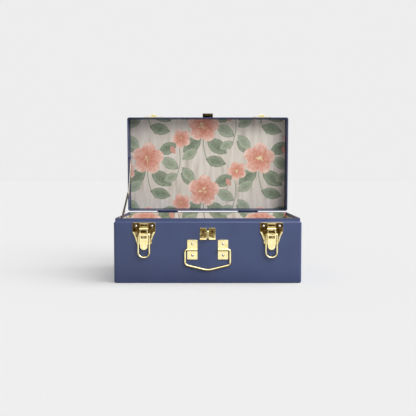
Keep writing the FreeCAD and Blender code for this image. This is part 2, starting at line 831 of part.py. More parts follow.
def hasp_strap_solid():
    """The slotted strap, folded up over the lid's front, where the lid shut would leave it."""
    y = front - hasp_pin_out
    barrel = bar_x(around(0, hasp_tongue_width - hasp_knuckle_gap), y, hasp_z, hasp_barrel_radius)
    far = hasp_pin_out + hasp_barrel_radius
    reach = hasp_z - eye_bottom + hasp_slot_gap + hasp_web
    clear = hasp_barrel_radius + hasp_relief
    neck = block(around(0, hasp_tongue_width - hasp_knuckle_gap), off_front(far - hasp_strap, far),
                 (hasp_z, hasp_z + clear))
    strap = block(around(0, hasp_strap_width), off_front(far - hasp_strap, far),
                  (hasp_z + clear, hasp_z + reach))
    strap = rounded_corners(strap, outwards, hasp_corner)
    slot_x = around(0, eye_width + 2 * hasp_slot_gap)
    slot_z = (hasp_z + hasp_z - eye_top - hasp_slot_gap, hasp_z + reach - hasp_web)
    slot = rounded_corners(block(slot_x, off_front(0, far + overrun), slot_z), outwards, hasp_slot_gap)
    bore = bar_x(around(0, hasp_width), y, hasp_z, hasp_pin_radius + run_gap)
    return joined([barrel, neck, strap]).cut(bore).cut(slot)


# Bail handle

def handle_bracket(centre):
    """A strap with a half-round channel over the bail's end."""
    x = around(centre, bracket_width)
    strap = block(x, off_front(0, bracket_sheet), around(handle_height, bracket_height))
    strap = rounded_corners(strap, outwards, bracket_corner)
    y = front - handle_out
    hump = bar_x(x, y, handle_height, handle_bore + bracket_sheet)
    hump = hump.common(block(x, off_front(0, overrun), around(handle_height, bracket_height)))
    long_x = (x[0] - overrun, x[1] + overrun)
    channel = block(long_x, off_front(0, handle_out), around(handle_height, 2 * handle_bore))
    bracket = joined([strap, hump]).cut(channel).cut(bar_x(long_x, y, handle_height, handle_bore))
    return drilled(bracket, screw_seats(centre), outwards, bracket_sheet)


def handle_bail():
    """The wire handle: turned-in ends, straight sides and a shallow pointed grip."""
    wire = handle_wire / 2
    half = bail_width / 2 - wire
    end = bracket_centre - bracket_width / 2 + bail_end_inset
    side_z = handle_height - bail_side
    tip_z = handle_height - bail_length + wire
    y = front - handle_out
    places = ((-end, handle_height), (-half, handle_height), (-half, side_z), (0, tip_z),
              (half, side_z), (half, handle_height), (end, handle_height))
    points = [vec(x, y, z) for x, z in places]
    radii = (0, bail_corner, bail_bend, bail_tip_bend, bail_bend, bail_corner, 0)
    return wire_solid(rounded_path(points, radii), wire)


def screw(seat):
    """A dome-headed screw with a straight slot."""
    head = dome(seat, outwards, screw_head_radius, screw_head_rise)
    shank = Part.makeCylinder(rivet_shank_radius, bracket_sheet + sheet, seat, backwards)
    slot_y = (seat.y - screw_head_rise, seat.y - screw_head_rise + screw_slot_depth)
    slot = block(around(seat.x, 2 * screw_head_radius), slot_y, around(seat.z, screw_slot_width))
    return joined([head, shank]).cut(slot)


# Lid stay

def stay_base_plate_limits():
    """The base bracket's Y and Z limits."""
    ahead = stay_base_rivet_reach + stay_base_rivet_spacing + rivet_head_radius + fit_gap
    y = (stay_base_y - ahead, stay_base_y + stay_base_plate_back)
    return y, (stay_base_z - stay_base_plate_down, lip_top - fit_gap)


def stay_stud(plate_x, arm_x, y, z):
    """A shouldered stud: boss up to the arm, shank through it and a head beyond it."""
    boss = bar_x((plate_x, arm_x - stay_end_gap), y, z, stay_boss_radius)
    head_x = arm_x + stay_arm + stay_end_gap
    shank = bar_x((plate_x, head_x), y, z, stay_stud_radius)
    head = dome(vec(head_x, y, z), inwards, stay_head_radius, stay_head)
    return [boss, shank, head]


def stay_base_bracket():
    y, z = stay_base_plate_limits()
    plate_x = (-lip_inner, -lip_inner + stay_bracket)
    plate = block(plate_x, y, z)
    plate = drilled(plate, stay_base_rivet_seats(), inwards, stay_bracket)
    return joined([plate] + stay_stud(plate_x[1], stay_lower_x, stay_base_y, stay_base_z))


def stay_lid_bracket():
    wall = -half_width + sheet
    low = rim + hem_height + fit_gap
    plate = block((wall, wall + stay_bracket), around(stay_shut_y, stay_lid_plate_width),
                  (low, low + stay_lid_plate_height))
    plate = drilled(plate, stay_lid_rivet_seats(), leftwards, sheet)
    return joined([plate] + stay_stud(wall + stay_bracket, stay_upper_x, stay_shut_y, stay_shut_z))


def stay_points():
    """The stay's pivots with the lid open, and its knee, in Y and Z."""
    base = (stay_base_y, stay_base_z)
    lid = (stay_open_y, stay_open_z)
    return base, lid, knee_between(base, lid)


def knee_between(base, lid):
    """Where the two arms meet, on the side towards the back of the trunk."""
    dy, dz = lid[0] - base[0], lid[1] - base[1]
    span = hypot(dy, dz)
    along = (stay_lower_length ** 2 - stay_upper_length ** 2 + span ** 2) / (2 * span)
    off = sqrt(stay_lower_length ** 2 - along ** 2)
    return (base[0] + (along * dy + off * dz) / span, base[1] + (along * dz - off * dy) / span)


def stay_arm_solid(start, end, x):
    """A flat arm with round ends, drilled at its start."""
    dy, dz = end[0] - start[0], end[1] - start[1]
    length = hypot(dy, dz)
    half = stay_arm_width / 2
    span = block((x, x + stay_arm), (0, length), (-half, half))
    span.rotate(vec(0, 0, 0), vec(1, 0, 0), degrees(atan2(dz, dy)))
    span.translate(vec(0, start[0], start[1]))
    ends = [bar_x((x, x + stay_arm), y, z, half) for y, z in (start, end)]
    hole = bar_x((x - overrun, x + overrun), start[0], start[1], stay_stud_radius + run_gap)
    return joined([span] + ends).cut(hole)


def stay_lower_arm():
    """The arm on the base, with a thumb lug on its lower edge and a hole at the knee."""
    base, _, knee = stay_points()
    arm = stay_arm_solid(base, knee, stay_lower_x)
    share = stay_lug_place / stay_lower_length
    dy, dz = (knee[0] - base[0]) / stay_lower_length, (knee[1] - base[1]) / stay_lower_length
    lug_y = base[0] + share * (knee[0] - base[0]) + dz * stay_lug_out
    lug_z = base[1] + share * (knee[1] - base[1]) - dy * stay_lug_out
    x = (stay_lower_x, stay_lower_x + stay_arm)
    arm = joined([arm, bar_x(x, lug_y, lug_z, stay_lug_radius)])
    return arm.cut(bar_x((x[0] - overrun, x[1] + overrun), knee[0], knee[1], stay_stud_radius))


def stay_upper_arm():
    """The arm on the lid, with the knee rivet's head on its inner side."""
    _, lid, knee = stay_points()
    arm = stay_arm_solid(lid, knee, stay_upper_x)
    seat = vec(stay_upper_x + stay_arm, knee[0], knee[1])
    return joined([arm, dome(seat, inwards, stay_head_radius, stay_head)])


# All pieces by name

def pieces():
    """Every node's solids at rest, with the lid open."""
    made = {
        "base_walls": base_walls(),
        "base_floor": base_floor(),
        "liner_floor": liner_floor(),
        "liner_front": liner_end(-1),
        "liner_back": liner_end(1),
        "liner_left": liner_side(-1),
        "liner_right": liner_side(1),
        "lid_shell": opened(lid_shell()),
        "liner_lid": opened(liner_lid()),
        "staple": staple(),
        "hasp_plate": opened(hasp_plate_solid()),
        "hasp_pin": opened(hasp_pin()),
        "hasp_strap": opened(hasp_strap_solid()),
        "handle_bail": handle_bail(),
        "stay_base_bracket": stay_base_bracket(),
        "stay_lid_bracket": opened(stay_lid_bracket()),
        "stay_lower_arm": stay_lower_arm(),
        "stay_upper_arm": stay_upper_arm(),
    }
    hinge_grip = hinge_leaf + sheet
    latch_grip = latch_plate + sheet
    keeper_grip = keeper_plate + sheet
    staple_grip = staple_plate + sheet
    hasp_grip = hasp_plate + sheet
    stay_grip = stay_bracket + sheet
    base_rivets, lid_rivets, latch_rivets, keeper_rivets, screws = [], [], [], [], []
    for side, sign in left_right:
        hinge_x, latch_x, bracket_x = sign * hinge_centre, sign * latch_centre, sign * bracket_centre
        made["hinge_base_leaf_" + side] = hinge_leaf_solid(hinge_x, -1, 0)
        made["hinge_lid_leaf_" + side] = opened(hinge_leaf_solid(hinge_x, 1, 1))
        made["hinge_pin_" + side] = hinge_pin(hinge_x)
        made["latch_plate_" + side] = latch_plate_solid(latch_x)
        made["latch_pin_" + side] = latch_pin(latch_x)
        made["latch_lever_" + side] = latch_lever(latch_x)
        made["latch_loop_" + side] = latch_loop(latch_x)
        made["keeper_" + side] = opened(keeper(latch_x))
        made["handle_bracket_" + side] = handle_bracket(bracket_x)
        base_rivets += [rivet(s, backwards, hinge_grip) for s in hinge_rivet_seats(hinge_x, -1)]
        lid_rivets += [opened(rivet(s, backwards, hinge_grip)) for s in hinge_rivet_seats(hinge_x, 1)]
        latch_rivets += [rivet(s, outwards, latch_grip) for s in latch_rivet_seats(latch_x)]
        keeper_rivets += [opened(rivet(s, outwards, keeper_grip)) for s in keeper_rivet_seats(latch_x)]
        screws += [screw(s) for s in screw_seats(bracket_x)]
    made["hinge_base_rivets"] = Part.makeCompound(base_rivets)
    made["hinge_lid_rivets"] = Part.makeCompound(lid_rivets)
    made["latch_rivets"] = Part.makeCompound(latch_rivets)
    made["keeper_rivets"] = Part.makeCompound(keeper_rivets)
    made["handle_screws"] = Part.makeCompound(screws)
    made["staple_rivets"] = Part.makeCompound(
        [rivet(s, outwards, staple_grip, head_rise=staple_rivet_rise) for s in staple_rivet_seats()])
    made["hasp_rivets"] = Part.makeCompound(
        [opened(rivet(s, outwards, hasp_grip)) for s in hasp_rivet_seats()])
    made["stay_base_rivets"] = Part.makeCompound(
        [rivet(s, inwards, stay_grip, head_rise=stay_rivet_head) for s in stay_base_rivet_seats()])
    made["stay_lid_rivets"] = Part.makeCompound(
        [opened(rivet(s, leftwards, stay_grip)) for s in stay_lid_rivet_seats()])
    return made


def stay_turns():
    """How far each arm turns as the lid shuts, the upper one as seen from the lid."""
    base, lid, knee = stay_points()
    shut_lid = (stay_shut_y, stay_shut_z)
    shut_knee = knee_between(base, shut_lid)

    def heading(start, end):
        return degrees(atan2(end[1] - start[1], end[0] - start[0]))

    lower = heading(base, shut_knee) - heading(base, knee)
    upper = heading(shut_lid, shut_knee) - heading(lid, knee)
    return lower, upper - open_angle


os.makedirs("parts", exist_ok=True)
for name, shape in pieces().items():
    shape.exportStep("parts/" + name + ".step")
    size = shape.BoundBox
    print(name, len(shape.Solids), shape.isValid(), round(shape.Volume, 1),
          [round(v, 2) for v in (size.XMin, size.XMax, size.YMin, size.YMax, size.ZMin, size.ZMax)])
print("hinge axis", hinge_y, hinge_z)
print("stay pivots and knee", stay_points(), "turns", stay_turns())
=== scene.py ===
import json
from math import pi, radians

import bpy
import numpy as np
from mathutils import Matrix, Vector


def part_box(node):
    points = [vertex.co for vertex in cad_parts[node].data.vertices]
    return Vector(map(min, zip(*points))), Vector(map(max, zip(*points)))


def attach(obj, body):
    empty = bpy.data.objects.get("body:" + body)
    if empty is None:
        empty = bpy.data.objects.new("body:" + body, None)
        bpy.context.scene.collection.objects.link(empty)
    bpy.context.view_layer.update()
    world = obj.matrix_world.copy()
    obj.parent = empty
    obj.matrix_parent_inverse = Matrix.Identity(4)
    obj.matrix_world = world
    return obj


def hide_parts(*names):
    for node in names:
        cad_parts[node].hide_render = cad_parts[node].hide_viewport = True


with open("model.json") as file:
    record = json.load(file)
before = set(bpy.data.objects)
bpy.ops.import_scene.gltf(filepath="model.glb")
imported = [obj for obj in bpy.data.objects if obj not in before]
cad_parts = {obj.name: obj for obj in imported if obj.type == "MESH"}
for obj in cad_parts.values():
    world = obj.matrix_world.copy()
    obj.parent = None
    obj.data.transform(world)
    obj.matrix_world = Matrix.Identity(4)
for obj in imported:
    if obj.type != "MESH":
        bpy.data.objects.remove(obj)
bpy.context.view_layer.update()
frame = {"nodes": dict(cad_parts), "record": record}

nodes = frame["nodes"]
scene = bpy.context.scene
scene.view_settings.view_transform = "Standard"
mm = 0.001
every_output = slice(None)
# Noise seldom leaves these values.
noise_ends = (0.3, 0.7)


# Helpers

def linear(code):
    """An sRGB hex colour as linear red, green, blue and alpha."""
    parts = [int(code[i:i + 2], 16) / 255 for i in (1, 3, 5)]
    return tuple(c / 12.92 if c <= 0.04045 else ((c + 0.055) / 1.055) ** 2.4 for c in parts) + (1,)


def add(tree, kind, inputs=(), out=0, stops=(), **settings):
    """Adds a node with its settings and colour stops, fills or links its inputs, and gives its output."""
    node = tree.nodes.new(kind)
    for name, value in settings.items():
        setattr(node, name, value)
    for key, value in inputs.items() if isinstance(inputs, dict) else enumerate(inputs):
        if isinstance(value, bpy.types.NodeSocket):
            tree.links.new(value, node.inputs[key])
        else:
            node.inputs[key].default_value = value
    if stops:
        node.color_ramp.interpolation = "EASE"
        while len(node.color_ramp.elements) < len(stops):
            node.color_ramp.elements.new(1)
        for element, (place, code) in zip(node.color_ramp.elements, stops):
            element.position = place
            element.color = linear(code)
    return node.outputs[out] if node.outputs else None


def surface_named(name, surface):
    """A material whose surface shader is built by a function."""
    material = bpy.data.materials.new(name)
    material.use_nodes = True
    tree = material.node_tree
    tree.nodes.clear()
    add(tree, "ShaderNodeOutputMaterial", {"Surface": surface(tree)})
    return material


def finish_named(name, inputs, shader="ShaderNodeBsdfPrincipled"):
    """A material of one shader, whose inputs are given by a function."""
    return surface_named(name, lambda tree: add(tree, shader, inputs(tree)))


def speckle(tree, size, detail=2, place=None):
    """Noise from 0 to 1 whose spots are about a size across, in millimetres."""
    if place is None:
        place = add(tree, "ShaderNodeTexCoord", out="Object")
        place = add(tree, "ShaderNodeMapping", {"Vector": place, "Scale": (1 / mm,) * 3})
    inputs = {"Vector": place, "Scale": 1 / size, "Detail": detail}
    return add(tree, "ShaderNodeTexNoise", inputs, out="Fac")


# Finishes

# Sizes of the finishes' patterns, in millimetres.
enamel_cloud = 70
enamel_smudge = 9
# Orange peel is about 1.5 mm across; it is drawn coarser so that it can show.
orange_peel = 2.4
brass_cloud = 6
brass_smudge = 3
# Polishing marks are finer than 0.2 mm; they are drawn coarser so that they can show.
polishing_mark = 0.9
pressing_wave = 9
ground_shade_patch = 7
dark_metal_patch = 4
metal_smudge = 2
zinc_grain = 2
zinc_smudge = 1.5
nickel_cloud = 5
print_wash = 7
paper_streak = 9
# Paper fibre is finer than 0.3 mm; it is drawn coarser so that it can show.
paper_fibre = 0.8
paper_smudge = 5

# Heights of the finishes' bumps, and the latch plates' flat face: its Y, and how far it counts as flat.
peel_height = 0.2 * mm
mark_height = 0.05 * mm
wave_height = 0.1 * mm
fibre_height = 0.05 * mm
latch_ground = -97.0 * mm
ground_near = 0.05 * mm
ground_far = 0.25 * mm


def navy_enamel(tree):
    """Stoved satin enamel on sheet steel: an even navy, slightly uneven gloss and faint orange peel."""
    tone = add(tree, "ShaderNodeValToRGB", {"Fac": speckle(tree, enamel_cloud)},
               stops=((0.25, "#38446b"), (0.75, "#3d4a71")))
    gloss = add(tree, "ShaderNodeMapRange", (speckle(tree, enamel_smudge), *noise_ends, 0.36, 0.46))
    peel = add(tree, "ShaderNodeBump", {"Height": speckle(tree, orange_peel), "Strength": 0.06,
                                        "Distance": peel_height})
    return {"Base Color": tone, "Roughness": gloss, "Normal": peel, "IOR": 1.5}


def polished_brass(tree):
    """Brass under thin lacquer: bright gold, smudged gloss and a few deeper clouds."""
    tone = add(tree, "ShaderNodeValToRGB", {"Fac": speckle(tree, brass_cloud, 4)},
               stops=((0.3, "#eeda98"), (0.5, "#f8eab0"), (0.75, "#fcf2c0")))
    gloss = add(tree, "ShaderNodeMapRange", (speckle(tree, brass_smudge, 3), *noise_ends, 0.04, 0.09))
    marks = add(tree, "ShaderNodeBump", {"Height": speckle(tree, polishing_mark), "Strength": 0.05,
                                         "Distance": mark_height})
    return {"Base Color": tone, "Metallic": 1, "Roughness": gloss, "Normal": marks}


def pressed_brass(tree):
    """Polished brass sheet, with the slow waves that pressing leaves in it."""
    inputs = polished_brass(tree)
    waves = {"Height": speckle(tree, pressing_wave, 1), "Strength": 1, "Distance": wave_height,
             "Normal": inputs["Normal"]}
    inputs["Normal"] = add(tree, "ShaderNodeBump", waves)
    return inputs


def latch_brass(tree):
    """Pressed brass whose sunk ground, the latch plate's flat face, is painted brown behind the lever:
    painted shade and dark reflection.
    """
    inputs = pressed_brass(tree)
    place = add(tree, "ShaderNodeTexCoord", out="Object")
    y = add(tree, "ShaderNodeSeparateXYZ", {0: place}, out="Y")
    depth = add(tree, "ShaderNodeMath", {0: y, 1: latch_ground}, operation="SUBTRACT")
    depth = add(tree, "ShaderNodeMath", {0: depth}, operation="ABSOLUTE")
    sunk = add(tree, "ShaderNodeMapRange", (depth, ground_near, ground_far, 1, 0))
    # The flat face's brown is painted shade and dark reflection, not tarnish.
    brown = add(tree, "ShaderNodeValToRGB", {"Fac": speckle(tree, ground_shade_patch, 3)},
                stops=((0.35, "#7d663c"), (0.5, "#a8945f"), (0.66, "#e4d6aa")))
    inputs["Base Color"] = add(tree, "ShaderNodeMix", {0: sunk, 6: inputs["Base Color"], 7: brown}, out=2,
                               data_type="RGBA")
    return inputs


def brown_black_brass(tree):
    """Dark brass on the hasp: brown-black, with gold showing through in patches."""
    tone = add(tree, "ShaderNodeValToRGB", {"Fac": speckle(tree, dark_metal_patch, 4)},
               stops=((0.35, "#2c2413"), (0.6, "#4a3d1f"), (0.8, "#b09a58")))
    gloss = add(tree, "ShaderNodeMapRange", (speckle(tree, metal_smudge, 3), *noise_ends, 0.2, 0.35))
    return {"Base Color": tone, "Metallic": 1, "Roughness": gloss}


def zinc_plate(tree):
    """Zinc-plated steel: pale grey with a soft grain."""
    tone = add(tree, "ShaderNodeValToRGB", {"Fac": speckle(tree, zinc_grain, 3)},
               stops=((0.3, "#a2a3a3"), (0.7, "#c6c6c4")))
    gloss = add(tree, "ShaderNodeMapRange", (speckle(tree, zinc_smudge), *noise_ends, 0.12, 0.2))
    return {"Base Color": tone, "Metallic": 1, "Roughness": gloss}


def shaded_stay_strip(tree):
    """A darker brown-grey copy of the stay's plated strip, with lighter spots: painted shade on the lower
    arm.
    """
    tone = add(tree, "ShaderNodeValToRGB", {"Fac": speckle(tree, dark_metal_patch, 4)},
               stops=((0.3, "#4f483e"), (0.6, "#6d665a"), (0.8, "#8f887a")))
    gloss = add(tree, "ShaderNodeMapRange", (speckle(tree, metal_smudge, 3), *noise_ends, 0.3, 0.45))
    return {"Base Color": tone, "Metallic": 1, "Roughness": gloss}


def nickel_strip(tree):
    """Rolled nickel-plated strip: warm grey, softly clouded, with an uneven gloss."""
    tone = add(tree, "ShaderNodeValToRGB", {"Fac": speckle(tree, nickel_cloud, 3)},
               stops=((0.3, "#b5aea0"), (0.7, "#d6d0c4")))
    gloss = add(tree, "ShaderNodeMapRange", (speckle(tree, metal_smudge), *noise_ends, 0.28, 0.42))
    return {"Base Color": tone, "Metallic": 1, "Roughness": gloss}


# Print on the lining paper: five-petalled blossoms and almond-leaf sprigs in a half-drop repeat.
# Lengths are millimetres on the paper.
repeat_width = 118
repeat_height = 136
large_shift_shares = (0.5, 0.5)
small_shift_shares = (0.0, 0.25)
stem_edge = 0.4
# Shares of a leaf's or a blossom's own size, and depths of shade.
leaf_edge_share = 0.08
leaf_veins = 24
vein_slant = -0.5
vein_depth = 0.08
rib_depth = -0.4
rib_end_shares = (0.02, 0.08)
petal_turns = 2.5
petal_roundness = 0.6
petal_notch_share = 0.34
petal_root_share = 0.66
petal_edge_share = 0.05
petal_streaks = 35
streak_depth = 0.06
fold_depth = 0.22
fold_end_shares = (0.02, 0.3)
wash_depth = 0.22
# The ground's streaks run up the paper, so noise is drawn out along it.
streak_shares = (1, 0.14, 1)
coral = ((0.06, "#e8d3a8"), (0.14, "#cb7f6a"), (0.4, "#dc9a86"), (0.7, "#e5b3a2"), (1.0, "#f0d4c6"))
sage = ((0.0, "#75826a"), (0.2, "#9aa48d"), (0.55, "#889580"), (1.0, "#6e7b64"))
pale_sage = ((0.0, "#8f9a84"), (0.2, "#b0b8a4"), (0.55, "#a0aa94"), (1.0, "#8c9882"))
coral_bud = ((0.0, "#c48576"), (0.4, "#d9a798"), (1.0, "#cc9080"))
paper_ground = ((0.3, "#c6bcb0"), (0.45, "#d8d0c6"), (0.62, "#e1dbd2"), (0.8, "#e8e4dd"))
stem_green = "#909c7f"
# Stems: the line's bend, its two ends and its width.
large_stem = ((-9, 0.12, 0.006), (-64, 6), 1.8)
small_stem = ((0, -0.1, -0.005), (-60, 14), 1.5)
# Leaves and the bud: the middle, the length and width, and the heading in degrees.
large_leaves = (((19, -20), (54, 31), -36), ((-33, -17), (52, 30), -140), ((17, -52), (46, 25), -14),
                ((33, 43), (46, 26), 28), ((-41, 47), (42, 24), 142))
small_leaves = (((21, -3), (40, 22), 34), ((-22, -22), (46, 25), 150), ((18, -46), (42, 23), -50),
                ((-19, -52), (34, 19), 205))
small_bud = ((-15, 6), (19, 11), 118)
# Blossoms: the middle, the radius and the turn in degrees.
large_blossom = ((-9, 22), 35, 12)
small_blossom = ((3, 30), 21, 40)


def half_drop(tree, u, v, shift_shares):
    """A point of the paper's place in its own cell of the repeat, from the cell's middle."""
    across = add(tree, "ShaderNodeMath", {0: u, 1: 1 / repeat_width, 2: shift_shares[0]},
                 operation="MULTIPLY_ADD")
    column = add(tree, "ShaderNodeMath", {0: across}, operation="FLOOR")
    drop = add(tree, "ShaderNodeMath", {0: column, 1: 0.5, 2: shift_shares[1]}, operation="MULTIPLY_ADD")
    up = add(tree, "ShaderNodeMath", {0: v, 1: 1 / repeat_height, 2: drop}, operation="MULTIPLY_ADD")
    cell = []
    for run, length in ((across, repeat_width), (up, repeat_height)):
        part = add(tree, "ShaderNodeMath", {0: run}, operation="FRACT")
        part = add(tree, "ShaderNodeMath", {0: part, 1: length, 2: -length / 2}, operation="MULTIPLY_ADD")
        cell.append(part)
    return add(tree, "ShaderNodeCombineXYZ", {"X": cell[0], "Y": cell[1]})


def own_frame(tree, cell, middle, half_sizes, heading):
    """Coordinates of a motif, -1 to 1 over its length and width, turned to its heading."""
    return add(tree, "ShaderNodeMapping", {"Vector": cell, "Location": (*middle, 0),
                                           "Rotation": (0, 0, radians(heading)),
                                           "Scale": (*half_sizes, 1)}, vector_type="TEXTURE")


def leaf(tree, cell, wash, below, middle, size, heading, stops):
    """An almond leaf: inside where 1 - s squared - |t| is above 0, with a rib and slanted veins."""
    place = own_frame(tree, cell, middle, (size[0] / 2, size[1] / 2), heading)
    s, t, _ = add(tree, "ShaderNodeSeparateXYZ", {0: place}, out=every_output)
    side = add(tree, "ShaderNodeMath", {0: t}, operation="ABSOLUTE")
    square = add(tree, "ShaderNodeMath", {0: s, 1: s, 2: side}, operation="MULTIPLY_ADD")
    depth = add(tree, "ShaderNodeMath", {0: 1, 1: square}, operation="SUBTRACT")
    mask = add(tree, "ShaderNodeMapRange", (depth, 0, leaf_edge_share, 0, 1))
    slant = add(tree, "ShaderNodeMath", {0: side, 1: vein_slant, 2: s}, operation="MULTIPLY_ADD")
    wave = add(tree, "ShaderNodeMath", {0: slant, 1: leaf_veins}, operation="MULTIPLY")
    wave = add(tree, "ShaderNodeMath", {0: wave}, operation="SINE")
    shade = add(tree, "ShaderNodeMath", {0: wave, 1: vein_depth, 2: depth}, operation="MULTIPLY_ADD")
    rib = add(tree, "ShaderNodeMapRange", (side, *rib_end_shares, rib_depth, 0))
    shade = add(tree, "ShaderNodeMath", {0: shade, 1: rib}, operation="ADD")
    shade = add(tree, "ShaderNodeMath", {0: shade, 1: wash}, operation="ADD")
    colour = add(tree, "ShaderNodeValToRGB", {"Fac": shade}, stops=stops)
    return add(tree, "ShaderNodeMix", {0: mask, 6: below, 7: colour}, out=2, data_type="RGBA")


def blossom(tree, cell, wash, below, middle, radius, turn):
    """Five petals: the rim is root + notch |cos 2.5 a| to the power roundness, streaked to the middle."""
    place = own_frame(tree, cell, middle, (radius, radius), turn)
    x, y, _ = add(tree, "ShaderNodeSeparateXYZ", {0: place}, out=every_output)
    angle = add(tree, "ShaderNodeMath", {0: y, 1: x}, operation="ARCTAN2")
    reach = add(tree, "ShaderNodeVectorMath", {0: place}, out="Value", operation="LENGTH")
    lobe = add(tree, "ShaderNodeMath", {0: angle, 1: petal_turns}, operation="MULTIPLY")
    lobe = add(tree, "ShaderNodeMath", {0: lobe}, operation="COSINE")
    lobe = add(tree, "ShaderNodeMath", {0: lobe}, operation="ABSOLUTE")
    rim = add(tree, "ShaderNodeMath", {0: lobe, 1: petal_roundness}, operation="POWER")
    rim = add(tree, "ShaderNodeMath", {0: rim, 1: petal_notch_share, 2: petal_root_share},
              operation="MULTIPLY_ADD")
    depth = add(tree, "ShaderNodeMath", {0: rim, 1: reach}, operation="SUBTRACT")
    mask = add(tree, "ShaderNodeMapRange", (depth, 0, petal_edge_share, 0, 1))
    streak = add(tree, "ShaderNodeMath", {0: angle, 1: petal_streaks}, operation="MULTIPLY")
    streak = add(tree, "ShaderNodeMath", {0: streak}, operation="SINE")
    fold = add(tree, "ShaderNodeMapRange", (lobe, *fold_end_shares, fold_depth, 0))
    shade = add(tree, "ShaderNodeMath", {0: streak, 1: streak_depth, 2: reach}, operation="MULTIPLY_ADD")
    shade = add(tree, "ShaderNodeMath", {0: shade, 1: fold}, operation="SUBTRACT")
    shade = add(tree, "ShaderNodeMath", {0: shade, 1: wash}, operation="ADD")
    colour = add(tree, "ShaderNodeValToRGB", {"Fac": shade}, stops=coral)
    return add(tree, "ShaderNodeMix", {0: mask, 6: below, 7: colour}, out=2, data_type="RGBA")


def stem(tree, cell, below, bend, ends, width):
    """A thin line u = a + b v + c v squared between two heights."""
    u, v, _ = add(tree, "ShaderNodeSeparateXYZ", {0: cell}, out=every_output)
    line = add(tree, "ShaderNodeMath", {0: v, 1: bend[2], 2: bend[1]}, operation="MULTIPLY_ADD")
    line = add(tree, "ShaderNodeMath", {0: line, 1: v, 2: bend[0]}, operation="MULTIPLY_ADD")
    off = add(tree, "ShaderNodeMath", {0: u, 1: line}, operation="SUBTRACT")
    off = add(tree, "ShaderNodeMath", {0: off}, operation="ABSOLUTE")
    mask = add(tree, "ShaderNodeMapRange", (off, width / 2 - stem_edge, width / 2 + stem_edge, 1, 0))
    for end, way in zip(ends, (1, -1)):
        inside = add(tree, "ShaderNodeMapRange", (v, end, end + way, 0, 1))
        mask = add(tree, "ShaderNodeMath", {0: mask, 1: inside}, operation="MULTIPLY")
    return add(tree, "ShaderNodeMix", {0: mask, 6: below, 7: linear(stem_green)}, out=2, data_type="RGBA")


def printed_lining(turn):
    """Inputs of a matt printed paper whose u and v run along two of the axes, turned to suit a board."""
    def inputs(tree):
        place = add(tree, "ShaderNodeTexCoord", out="Object")
        paper = add(tree, "ShaderNodeMapping", {"Vector": place, "Rotation": turn, "Scale": (1 / mm,) * 3})
        u, v, _ = add(tree, "ShaderNodeSeparateXYZ", {0: paper}, out=every_output)
        upright = add(tree, "ShaderNodeMapping", {"Vector": paper, "Scale": streak_shares})
        colour = add(tree, "ShaderNodeValToRGB", {"Fac": speckle(tree, paper_streak, 4, upright)},
                     stops=paper_ground)
        wash = speckle(tree, print_wash, 4, paper)
        wash = add(tree, "ShaderNodeMapRange", (wash, *noise_ends, -wash_depth, wash_depth))
        large = half_drop(tree, u, v, large_shift_shares)
        small = half_drop(tree, u, v, small_shift_shares)
        colour = stem(tree, large, colour, *large_stem)
        colour = stem(tree, small, colour, *small_stem)
        for each in large_leaves:
            colour = leaf(tree, large, wash, colour, *each, sage)
        for each in small_leaves:
            colour = leaf(tree, small, wash, colour, *each, pale_sage)
        colour = leaf(tree, small, wash, colour, *small_bud, coral_bud)
        colour = blossom(tree, large, wash, colour, *large_blossom)
        colour = blossom(tree, small, wash, colour, *small_blossom)
        fibre = add(tree, "ShaderNodeBump", {"Height": speckle(tree, paper_fibre, 4), "Strength": 0.12,
                                             "Distance": fibre_height})
        gloss = add(tree, "ShaderNodeMapRange", (speckle(tree, paper_smudge), *noise_ends, 0.62, 0.74))
        return {"Base Color": colour, "Roughness": gloss, "Normal": fibre, "IOR": 1.45}
    return inputs


enamel = finish_named("satin_navy_enamel", navy_enamel)
brass = finish_named("pressed_brass", pressed_brass)
wire_brass = finish_named("drawn_brass_wire", polished_brass)
plate_brass = finish_named("latch_brass_painted_ground_shade", latch_brass)
bronze = finish_named("brown_black_brass", brown_black_brass)
zinc = finish_named("zinc_plated_steel", zinc_plate)
nickel = finish_named("nickel_plated_strip", nickel_strip)
shaded_strip = finish_named("stay_strip_painted_shade", shaded_stay_strip)
quarter = pi / 2
paper_upright = finish_named("printed_paper_upright", printed_lining((-quarter, 0, 0)))
paper_end = finish_named("printed_paper_ends", printed_lining((-quarter, quarter, 0)))
paper_flat = finish_named("printed_paper_floor", printed_lining((0, 0, 0)))

finishes = {"navy_enamel": enamel, "brass": brass, "zinc_steel": zinc, "lining_paper": paper_upright}
# The stay's lower arm takes a darker copy of the upper arm's plated strip: painted shade.
own_finishes = {"liner_left": paper_end, "liner_right": paper_end, "liner_floor": paper_flat,
                "stay_lower_arm": shaded_strip, "stay_upper_arm": nickel, "stay_lid_bracket": enamel,
                "stay_lid_rivets": enamel, "hasp_plate": bronze, "hasp_strap": bronze,
                "staple_rivets": bronze, "latch_plate_left": plate_brass, "latch_plate_right": plate_brass}
for subpart in frame["record"]["subparts"]:
    name = subpart["node"]
    material = own_finishes.get(name, finishes[subpart["material_slot"]])
    nodes[name].data.materials.clear()
    nodes[name].data.materials.append(material)


# Wires, drawn round and smooth over the plain solids. Lengths are millimetres.

arc_points = 13
ring_points = 24
# The bail's sizes below its turned-in ends, and the bends along it.
bail_side = 26.8
bail_length = 38.1
bail_end = 20.0
bail_bends = (0, 4, 6, 30, 6, 4, 0)
loop_corner = 2.3
loop_end_share = 0.9


